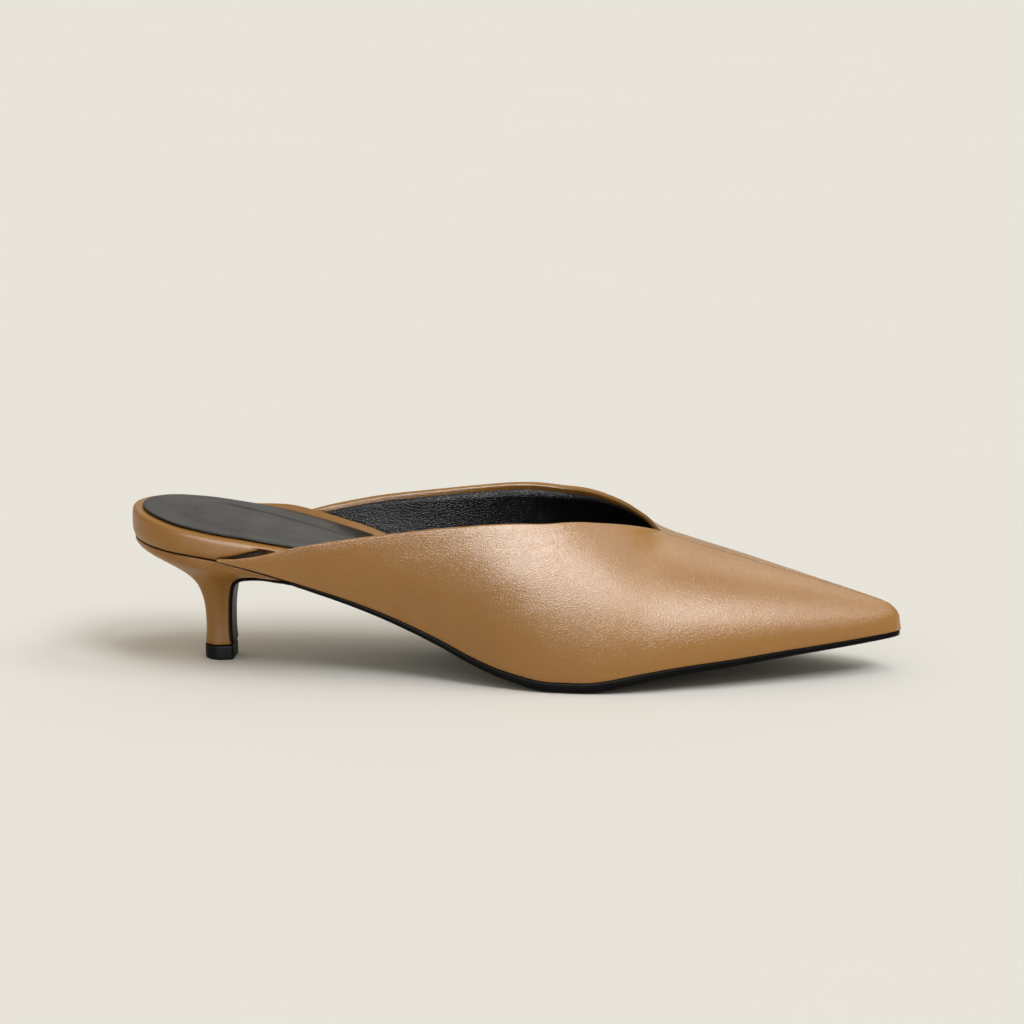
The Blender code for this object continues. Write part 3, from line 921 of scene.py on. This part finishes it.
def sideHeights(s, side):
    # heights of the levels up the wrap's side, gathered where the wedge ends
    height = footbed["thickness"] * footbedShare(s)
    low = 0.19 * height
    high = height - 1.25 * min(footbed["rimRound"], 0.35 * height)
    count = footbed["sideLevels"]
    even = [mix(low, high, k / (count - 1)) for k in range(count)]
    edge = min(max(wedgeTop(s, side), low + 0.0004), high - 0.0003)
    near = [low - 0.0002, mix(low, edge, 0.5), edge - 0.00035, edge - 0.00012]
    near += [edge + 0.00006, edge + 0.00022, mix(edge, high, 0.6), high]
    near[-2] = max(near[-2], edge + 0.00026)
    share = stretch(s, *footbed["gathered"])
    return [mix(a, b, share) for a, b in zip(even, near)]


def footbedLevels(s, side):
    # inset, share of the height and drawing in of every level from the underside to the top
    height = footbed["thickness"] * footbedShare(s)
    r = min(footbed["rimRound"], 0.35 * height)
    under = footbed["undercut"] * ease((last["throat"] - s) / (last["throat"] - last["tail"]))
    levels = [(0.0025 + under, 0.0), (0.0004 + under, 0.0), (under, 0.03), (0.55 * under, 0.11)]
    for level in sideHeights(s, side):
        share = level / height
        levels.append((-footbed["belly"] * sin(pi * share), share))
    for angle in (0, 25, 50, 75, 90):
        a = radians(angle)
        levels.append((r * (1 - cos(a)), 1 - r / height * (1 - sin(a))))
    levels += [(inset, 1.0) for inset in (0.0016, 0.0022, 0.0030, 0.0045)]
    return [
        (inset, share, tailPinch(s, side, share * height) if share < 0.97 else 0.0)
        for inset, share in levels
    ]


def footbedRing(s):
    clear = footbed["toeClearance"] * ease((s - footbed["toeBox"]) / (1 - footbed["toeBox"]))
    ring = []
    for side in (-1, 1):
        lip = archLip(s, side)
        for inset, share, pinch in footbedLevels(s, side)[::-side]:
            x, y = outlinePoint(s, side, -clear - inset - pinch)
            lift = lip * ease((share - 0.4) / 0.6) * (1 - ease(inset / footbed["lipWidth"]))
            ring.append(Vector((x, y, mix(feather(x), footbedTop(x), share) + lift)))
    return ring + ring[:1]


def makeFootbed():
    bm = bmesh.new()
    stations = boardStations(0.0, 1.0)
    count = len(footbedLevels(0.1, 1))

    def dyeAndShade(i, j):
        # levels run up the outer side and down the inner side of a ring
        side = -1 if j < count else 1
        k = j if j < count else 2 * count - 1 - j
        if k < len(footbed["jointDye"]):
            return footbed["jointDye"][max(k, 0)]
        # higher up the side, the wrap is painted dark where it is drawn in behind the tail: painted
        # shade in the wedge
        pinch = footbedLevels(stations[i], side)[k][2]
        return upper["tailDyeAndShade"] * min(1.0, pinch / 0.0024)

    sheetThrough(bm, [footbedRing(s) for s in stations], dyeAndShade)
    piece("footbed_wrap", bm, rimLeather, ["footbed"])


makeFootbed()

# The padded sock: a low border, a moulded ridge and a soft crown inside it
sock = {
    "backInset": 0.0034,
    "sideInset": 0.0028,
    "insetRun": 0.12,
    "middle": 0.0012,
    "end": 0.9,
    "endDrop": 0.0004,
    "lift": 0.00008,
    "edge": 0.0007,
    "rim": 0.0008,
    "border": 0.00105,
    "ridge": 0.0021,
    "pad": 0.00155,
    "crown": 0.00035,
    "crownRun": 0.02,
    "softRise": 0.0045,
    "crispRise": 0.0015,
    "crispRun": (0.05, 0.07, 0.42, 0.1),
    "fallStart": 0.0006,
    "fall": 0.0024,
    "borderBack": 0.0125,
    "borderSide": 0.0072,
    "borderRun": 0.2,
}

# distances of the rows of points: from the sock's edge, and from the moulded ridge
edgeSteps = (0.0, 0.0, 0.00012, 0.0004, 0.0008, 0.0012, 0.0017)
ridgeSteps = (-48, -34, -22, -13, -8, -4, 0, 4, 9, 15, 23, 34, 50)  # tenths of a millimetre

# along, distance of the moulded ridge from the sock's edge on the inner side
ridgeRows = [
    (0.00, 0.0125),
    (0.04, 0.0098),
    (0.10, 0.0076),
    (0.16, 0.0108),
    (0.23, 0.0122),
    (0.34, 0.0128),
    (1.00, 0.0128),
]
ridgeWidth = faired(throughRows(ridgeRows, 1), 0.0, 1.0, 0.02)


def borderWidth(s, side):
    if side > 0:
        return ridgeWidth(s)
    return mix(sock["borderBack"], sock["borderSide"], ease(s / sock["borderRun"]))


def sockHeight(inset, width, crisp):
    # height over the board at a distance from the sock's edge; crisp where the moulded ridge shows
    if inset < sock["rim"]:
        share = sqrt(max(1 - (1 - inset / sock["rim"]) ** 2, 0.0))
        return mix(sock["edge"], sock["border"], share)
    reach = mix(sock["softRise"], sock["crispRise"], crisp)
    rise = ease((inset - width + reach) / (2 * reach))
    settle = ease((inset - width - sock["fallStart"]) / sock["fall"])
    top = mix(mix(sock["pad"], sock["ridge"], crisp), sock["pad"], settle)
    return mix(sock["border"], top, rise)


def sockRing(s):
    # closed section of the sock: its top from the outer to the inner edge, and back beneath
    edge = mix(sock["backInset"], sock["sideInset"], ease(s / sock["insetRun"]))
    halves = {}
    for side in (-1, 1):
        width = borderWidth(s, side)
        insets = list(edgeSteps) + [width + step / 10000 for step in ridgeSteps]
        crisp = stretch(s, *sock["crispRun"]) if side > 0 else 0.0
        half = []
        for k, inset in enumerate(insets):
            room = max(halfWidth(s) - edge - sock["middle"], 0.0) if s > last["tail"] else inset
            d = min(inset, room)
            x, y = outlinePoint(s, side, -edge - d)
            y = centre(s) + side * max(side * (y - centre(s)), 0.0)  # stays on its own side
            height = 0.0 if k == 0 else sockHeight(d, width, crisp)
            half.append(Vector((x, y, footbedTop(x) + sock["lift"] + height)))
        halves[side] = half
    middle = []
    gap = (halves[-1][-1] - halves[1][-1]).length
    for k in range(1, 8):
        q = k / 8
        p = halves[-1][-1].lerp(halves[1][-1], q)
        bulge = sock["crown"] * sin(pi * q) * ease(gap / sock["crownRun"])
        p.z = footbedTop(p.x) + sock["lift"] + sock["pad"] + bulge
        middle.append(p)
    ring = halves[-1] + middle + halves[1][::-1]
    return ring + ring[:1]


def makeSock():
    rows = [sockRing(s) for s in boardStations(0.0, sock["end"])]
    rim = rows[-1]
    end = middleOf(rim)
    out = Vector((sock["endDrop"], 0.0, 0.0))
    rows += [[p.lerp(end, share) + out for p in rim] for share in (0.05, 0.5, 1.0)]
    bm = bmesh.new()
    sheetThrough(bm, rows)
    thing = piece("sock_pad", bm, sockLeather, ["sock"])


makeSock()

# The heel under its leather cover
heel = {
    "height": 0.0443,
    "seatLength": 0.058,
    "stemLength": 0.0087,
    "stemWidth": 0.0104,
    "stemSetback": 0.0241,
    "topPieceHeight": 0.005,
    "topPieceProud": 0.0006,
    "frontShare": 0.87,
    "widest": 0.58,
    "undercut": 0.0005,
    "flushStart": 0.8,
    "flapThickness": 0.0009,
    "rings": 34,
    "jointDye": (1.0, 1.0, 0.2),
}

# rings: share of the flare's run and height at the back and in front, width, front's width
heelRows = [
    (0.025, 0.958, 0.082, 0.990, 0.970, 0.905),
    (0.080, 0.915, 0.204, 0.973, 0.890, 0.785),
    (0.195, 0.862, 0.347, 0.948, 0.765, 0.590),
    (0.350, 0.802, 0.490, 0.921, 0.620, 0.410),
    (0.520, 0.735, 0.649, 0.887, 0.465, 0.255),
    (0.680, 0.668, 0.804, 0.850, 0.325, 0.135),
    (0.810, 0.596, 0.905, 0.797, 0.205, 0.070),
    (0.895, 0.525, 0.956, 0.714, 0.125, 0.040),
    (0.955, 0.425, 0.983, 0.576, 0.056, 0.016),
    (0.988, 0.313, 0.996, 0.429, 0.018, 0.004),
    (1.000, 0.146, 1.000, 0.200, 0.000, 0.000),
    (0.983, 0.000, 0.984, 0.000, 0.010, 0.004),
]
ringRows = [(ring, *row) for ring, row in enumerate(heelRows)]
heelCurves = [throughRows(ringRows, column) for column in range(1, 7)]
heelShares = [1 - cos(pi / 2 * k / 20) for k in range(21)]
heelSteps = [ringRows[-1][0] * k / (heel["rings"] - 1) for k in range(heel["rings"])]


def eggHalf(back, front, wide, narrow, side):
    # half ring with a round back, from the back to its front corner
    half = []
    for q in heelShares:
        if q < heel["widest"]:
            y = wide * sqrt(1 - (1 - q / heel["widest"]) ** 2)
        else:
            y = mix(wide, narrow, ease((q - heel["widest"]) / (1 - heel["widest"])))
        x = backX + mix(back[0], front[0], q)
        half.append(Vector((x, middleY + side * y, mix(back[1], front[1], q))))
    return half


def seatHalf(side):
    # half ring under the board: drawn in at the back, flush with the sole's edge in front
    seatEnd = heel["seatLength"] / last["insoleLength"]
    half = []
    for q in heelShares:
        s = q * seatEnd
        flush = ease((s - heel["flushStart"] * last["tail"]) / (seatEnd - last["tail"]))
        outset = mix(-heel["undercut"], last["seamGap"] + last["wall"], flush)
        x, y = outlinePoint(s, side, outset)
        half.append(Vector((x, y, feather(x) - last["seamGap"])))
    return half


def heelHalf(r, side):
    backIn, backHeight, frontIn, frontHeight, wide, front = [curve(r) for curve in heelCurves]
    floor = heel["topPieceHeight"] + last["seamGap"]
    breast = feather(backX + heel["seatLength"]) - last["seamGap"]
    stem = heel["stemWidth"] / 2
    seat = last["seatWidth"] / 2
    return eggHalf(
        (heel["stemSetback"] * backIn, mix(floor, heel["height"], backHeight)),
        (mix(heel["seatLength"], heel["stemSetback"] + heel["stemLength"], frontIn),
         mix(floor, breast, frontHeight)),
        mix(stem, seat, wide),
        mix(stem * heel["frontShare"], seat, front),
        side,
    )


def heelFronts():
    # front corner of every ring, from the seat down: along, half width, height
    fronts = [seatHalf(1)[-1]] + [heelHalf(r, 1)[-1] for r in heelSteps]
    return [(p.x, p.y - middleY, p.z) for p in fronts]


def closedRing(left, right, across=3):
    ring = left[::-1] + right[1:]
    for k in range(1, across + 1):
        ring.append(right[-1].lerp(left[-1], k / (across + 1)))
    return ring + ring[:1]


def drawnIn(ring, share):
    # the ring, drawn in toward its own middle
    middle = middleOf(ring[:-1])
    return [p.lerp(middle, share) for p in ring]


def capEnds(bm):
    # closes what is still open once the sheet is welded to itself
    bmesh.ops.remove_doubles(bm, verts=bm.verts, dist=weldReach)
    rim = [edge for edge in bm.edges if edge.is_boundary]
    bmesh.ops.holes_fill(bm, edges=rim, sides=0)


def makeHeel():
    seat = closedRing(seatHalf(-1), seatHalf(1))
    rings = [closedRing(heelHalf(r, -1), heelHalf(r, 1)) for r in heelSteps]
    rows = [drawnIn(seat, 0.6), drawnIn(seat, 0.012)]
    rows += [[a.lerp(b, q) for a, b in zip(seat, rings[0])] for q in (0.04, 0.35, 0.7)]
    rows += rings + [drawnIn(rings[-1], 0.03), drawnIn(rings[-1], 0.6)]
    bm = bmesh.new()
    dye = heel["jointDye"]
    sheetThrough(bm, rows, lambda i, j: dye[i] if i < len(dye) else 0.0)
    capEnds(bm)
    piece("heel_cover", bm, shadedHeelLeather, ["heel"])


makeHeel()

# The black sole, turned down the heel's breast as a flap
sole = {
    "thickness": 0.0034,
    "lipStart": 1.015,
    "lift": -0.00012,
}

# section of the sole's edge: inset with drop under the top, then with rise over the bottom
soleEdge = [(0.00045, 0.0), (0.0001, 0.0), (0.0, 0.00018)]
soleBottom = [(0.0, 0.00105), (0.00012, 0.0007), (0.0004, 0.0003), (0.0009, 0.00006), (0.0016, 0.0)]


def soleRing(s):
    # closed section square to the sole's own curve
    step = 0.0001
    x0 = backX + s * last["insoleLength"]
    slope = (feather(x0 + step) - feather(x0 - step)) / (2 * step)
    down = Vector((slope, 0.0, -1.0)).normalized()
    depth = sole["thickness"] * soleShare(s)
    room = min(1.0, (depth - 0.0003) / 0.0012)
    levels = soleEdge + [(inset * room, depth - rise * room) for inset, rise in soleBottom]
    levels.append((0.0045, depth))
    ring = []
    for side in (-1, 1):
        for inset, drop in levels[::-side]:
            inset = min(inset, 0.9 * halfWidth(s))
            x, y = outlinePoint(s, side, last["seamGap"] + last["wall"] - inset)
            ring.append(Vector((x, y, feather(x) + sole["lift"])) + down * drop)
    return ring + ring[:1]


def flapRing(front, normal):
    # closed section of the flap on the heel's breast
    x, half, z = front
    t = heel["flapThickness"]
    levels = [(half - 0.0006, 0.0), (half - 0.00008, 0.0), (half, 0.0001), (half, 0.35 * t)]
    levels += [(half, 0.6 * t), (half - 0.0001, 0.82 * t), (half - 0.0003, 0.96 * t)]
    levels += [(half - 0.0006, t), (half * 0.5, t)]
    ring = []
    for side in (-1, 1):
        for y, out in levels[::-side]:
            far = last["seamGap"] * 0.5 + out
            ring.append(Vector((x + normal[0] * far, middleY + side * y, z + normal[1] * far)))
    return ring + ring[:1]


def makeSole():
    lip = sole["lipStart"] * heel["seatLength"] / last["insoleLength"]
    rows = [soleRing(s) for s in reversed(boardStations(lip, 1.0))]
    fronts = heelFronts()
    for k in range(len(fronts)):
        x0, _, z0 = fronts[max(k - 1, 0)]
        x1, _, z1 = fronts[min(k + 1, len(fronts) - 1)]
        length = hypot(x1 - x0, z1 - z0)
        rows.append(flapRing(fronts[k], ((z0 - z1) / length, (x1 - x0) / length)))
    bm = bmesh.new()
    sheetThrough(bm, rows)
    capEnds(bm)
    piece("sole_and_flap", bm, soleBlack, ["outsole"])


makeSole()


# The rubber tip: inset and height of its rings from the floor up
tipRings = [
    (0.0020, 0.0),
    (0.0003, 0.0),
    (0.0, 0.0003),
    (0.0, 0.0015),
    (0.0, 0.0032),
    (0.0, 0.0046),
    (0.0001, 0.0049),
    (0.0003, 0.005),
    (0.0020, 0.005),
]


def makeTopPiece():
    back = heel["stemSetback"] - heel["topPieceProud"]
    front = heel["stemSetback"] + heel["stemLength"] + last["seamGap"] + heel["flapThickness"]
    wide = heel["stemWidth"] / 2 + heel["topPieceProud"]
    rows = []
    for inset, z in tipRings:
        half = wide - inset
        ends = (back + inset, z), (front - inset, z)
        sides = [eggHalf(*ends, half, half * heel["frontShare"], side) for side in (-1, 1)]
        rows.append(closedRing(*sides))
    bm = bmesh.new()
    sheetThrough(bm, rows)
    capEnds(bm)
    piece("heel_tip", bm, tipRubber, ["top_piece"])


makeTopPiece()

# The stitches along the closed seam over the toes
stitches = {
    "pitch": 0.0011,
    "length": 0.00075,
    "thickness": 0.00019,
    "sunk": 0.00006,
    "start": 0.0010,
    "end": 0.978,
}


def makeStitches():
    bm = bmesh.new()
    startX = backX + last["throat"] * last["shoeLength"] + stitches["start"]
    endX = backX + stitches["end"] * last["shoeLength"]
    count = int((endX - startX) / stitches["pitch"])
    for k in range(count):
        s = (startX + k * stitches["pitch"] - backX) / last["shoeLength"]
        spot = topPoint(s, 1) - ridgeNormal(s) * stitches["sunk"]
        along = (topPoint(s + 0.001, 1) - topPoint(s, 1)).normalized()
        across = Vector((0.0, 1.0, 0.0))
        thick = stitches["thickness"]
        size = Matrix.Diagonal((stitches["length"] / 2, thick, thick, 1.0))
        place = placed(along, across, along.cross(across), spot) @ size
        bmesh.ops.create_icosphere(bm, subdivisions=1, radius=1.0, matrix=place)
    piece("seam_stitches", bm, threadFinish, [], weld=0.0000001)


makeStitches()

# Floor, light and camera
studio = {
    "floorSize": 14.0,
    "floorShade": (0.80, 0.772, 0.704),
    "worldShade": (1.03, 0.98, 0.88),
    "sunShade": (0.968, 1.005, 1.084),
    "worldStrength": 0.52,
    "spread": 22,
    "cardDistance": 2.0,
    "mottle": 0.995,
}

# name, azimuth, height, strength, whether the lamp shows in reflections
sunRows = [
    ("key", 48, 50, 1.00, False),
    ("toe side", 90, 50, 0.46, True),
    ("above", 50, 74, 0.46, False),
]

# cards that show only as reflections: azimuth and height of both ends, half height, glow
cardRows = [
    ("soft box", (-23, 6), (46, 41.5), 16.5, 12.4),
    ("soft box end", (49, 44), (74, 44), 11, 3.0),
    ("rear card", (150, 33), (194, 33), 17, 0.55),
    ("top card", (112, 60), (166, 57), 15, 3.2),
]


def toward(azimuth, height):
    # direction to a light: azimuth 0 in front of the shoe's outer side, 90 beyond the toe
    a = radians(azimuth)
    h = radians(height)
    return Vector((sin(a) * cos(h), -cos(a) * cos(h), sin(h)))


def addSun(name, azimuth, height, strength, shiny):
    light = bpy.data.lights.new(name, "SUN")
    light.energy = strength
    light.color = studio["sunShade"]
    light.angle = radians(studio["spread"])
    lamp = shown(name, light)
    lamp.visible_glossy = shiny
    lamp.rotation_euler = toward(azimuth, height).to_track_quat("Z", "Y").to_euler()


def addCard(name, first, second, halfHeight, glow):
    # a long lamp between two directions, seen only where the leather mirrors it
    a = toward(*first)
    b = toward(*second)
    middle = (a + b).normalized()
    along = (b - a).normalized()
    light = bpy.data.lights.new(name, "AREA")
    light.shape = "RECTANGLE"
    light.size = 2 * studio["cardDistance"] * tan(a.angle(b) / 2)
    light.size_y = 2 * studio["cardDistance"] * tan(radians(halfHeight))
    light.energy = glow * pi * light.size * light.size_y
    lamp = shown(name, light)
    spot = middle * studio["cardDistance"]
    lamp.matrix_world = placed(along, middle.cross(along), middle, spot)
    lamp.visible_diffuse = False
    lamp.visible_camera = False


def setStudio():
    bm = bmesh.new()
    bmesh.ops.create_grid(bm, x_segments=1, y_segments=1, size=studio["floorSize"] / 2)
    mesh = bpy.data.meshes.new("floor")
    bm.to_mesh(mesh)
    bm.free()
    floor = shown("floor", mesh)
    finish = Finish("floor paper", {"Roughness": 0.95, "Specular IOR Level": 0.0})
    speck = finish.between(finish.noise(9, 2.0), 0.3, 0.7)
    shade = studio["floorShade"]
    finish.feed("Base Color", finish.shades(speck, [c * studio["mottle"] for c in shade], shade))
    mesh.materials.append(finish.material)
    world = bpy.data.worlds.new("studio")
    world.use_nodes = True
    sky = world.node_tree.nodes["Background"]
    sky.inputs["Color"].default_value = (*studio["worldShade"], 1.0)
    sky.inputs["Strength"].default_value = studio["worldStrength"]
    scene.world = world
    for row in sunRows:
        addSun(*row)
    for row in cardRows:
        addCard(*row)


setStudio()

# The camera: angles in degrees, aim from the back of the insole and the heel's middle line
camera = {
    "azimuth": 7.5,
    "height": 13.5,
    "distance": 1.3,
    "roll": 0.5775,
    "sensor": 36.0,
    "lens": 135.03,
    "aim": (0.13047, 0.0, 0.05319),
    "nearest": 0.05,
    "farthest": 50.0,
}


def setCamera():
    aim = Vector((backX, middleY, 0.0)) + Vector(camera["aim"])
    back = toward(camera["azimuth"], camera["height"])
    azimuth = radians(camera["azimuth"])
    right = Vector((cos(azimuth), sin(azimuth), 0.0))
    up = back.cross(right)
    roll = radians(camera["roll"])
    turned = right * cos(roll) - up * sin(roll)
    raised = up * cos(roll) + right * sin(roll)
    data = bpy.data.cameras.new("camera")
    data.sensor_width = camera["sensor"]
    data.lens = camera["lens"]
    data.clip_start = camera["nearest"]
    data.clip_end = camera["farthest"]
    thing = shown("camera", data)
    thing.matrix_world = placed(turned, raised, back, aim + back * camera["distance"])
    scene.camera = thing


setCamera()
scene.view_settings.view_transform = "Standard"
print("studio set")

bpy.context.view_layer.update()
